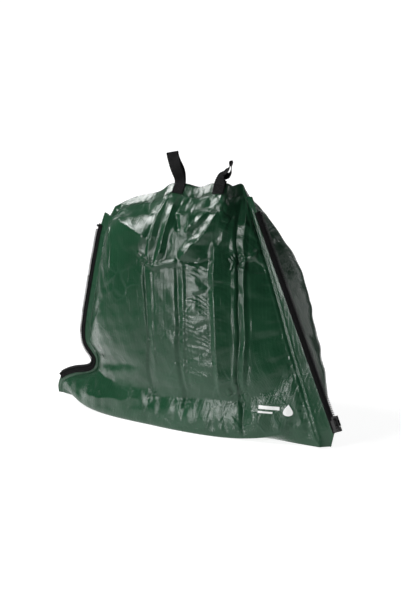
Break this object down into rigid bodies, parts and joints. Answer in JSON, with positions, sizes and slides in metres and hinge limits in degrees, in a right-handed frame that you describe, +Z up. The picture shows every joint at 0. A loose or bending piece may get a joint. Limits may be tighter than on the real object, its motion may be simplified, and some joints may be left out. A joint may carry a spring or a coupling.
{
  "type": "tree watering bag",
  "caption": "Free-standing slow-release watering bag: two welded fabric panels, an open zip half on each side, webbing carry loops and drip nozzles.",
  "frame": {"origin": "on the ground, in the middle of the bag's footprint", "axes": "+X along the bag's width towards the slider side, +Z up, -Y out of the front panel"},
  "size_m": [0.9376, 0.34, 0.7211],
  "materials": {
    "green_fabric": "glossy laminated woven polyethylene",
    "webbing": "matte woven polypropylene",
    "tape": "matte knitted polyester",
    "thread": "matte sewing thread",
    "plastic": "moulded acetal",
    "patch": "satin polyethylene"
  },
  "bodies": {
    "bag": {"front_panel": "green_fabric", "back_panel": "green_fabric", "front_hem_band": "green_fabric", "back_hem_band": "green_fabric", "zip_tape_left": "tape", "zip_tape_right": "tape", "zip_teeth_left": "plastic", "zip_teeth_right": "plastic", "zip_stitching_left": "thread", "zip_stitching_right": "thread", "zip_top_stop_left": "plastic", "zip_top_stop_right": "plastic", "zip_retaining_box": "plastic", "zip_insertion_pin": "plastic", "handle_left_front_tail": "webbing", "handle_left_back_tail": "webbing", "handle_right_front_tail": "webbing", "handle_right_back_tail": "webbing", "handle_left_stitching": "thread", "handle_right_stitching": "thread", "drip_patch_left": "patch", "drip_patch_right": "patch", "drip_nozzle_left": "plastic", "drip_nozzle_right": "plastic"},
    "slider": {"zip_slider_body": "plastic"},
    "pull": {"zip_pull_tab": "plastic"},
    "left_handle": {"handle_left_loop": "webbing"},
    "right_handle": {"handle_right_loop": "webbing"}
  },
  "joints": [
    {"name": "slider_travel", "type": "slide", "parent": "bag", "child": "slider", "axis": [-0.4098, 0.0376, 0.9114], "range_m": [0, 0.534]},
    {"name": "pull_swing", "type": "hinge", "parent": "slider", "child": "pull", "pos_m": [0.45115, -0.08379, 0.07696], "axis": [-0.8797, 0.2481, -0.4057], "range_deg": [0, 90]},
    {"name": "left_handle_swing", "type": "hinge", "parent": "bag", "child": "left_handle", "pos_m": [0.008, -0.08739, 0.64029], "axis": [1, 0, 0], "range_deg": [-50, 50]},
    {"name": "right_handle_swing", "type": "hinge", "parent": "bag", "child": "right_handle", "pos_m": [0.126, -0.08003, 0.64231], "axis": [1, 0, 0], "range_deg": [-50, 50]}
  ]
}
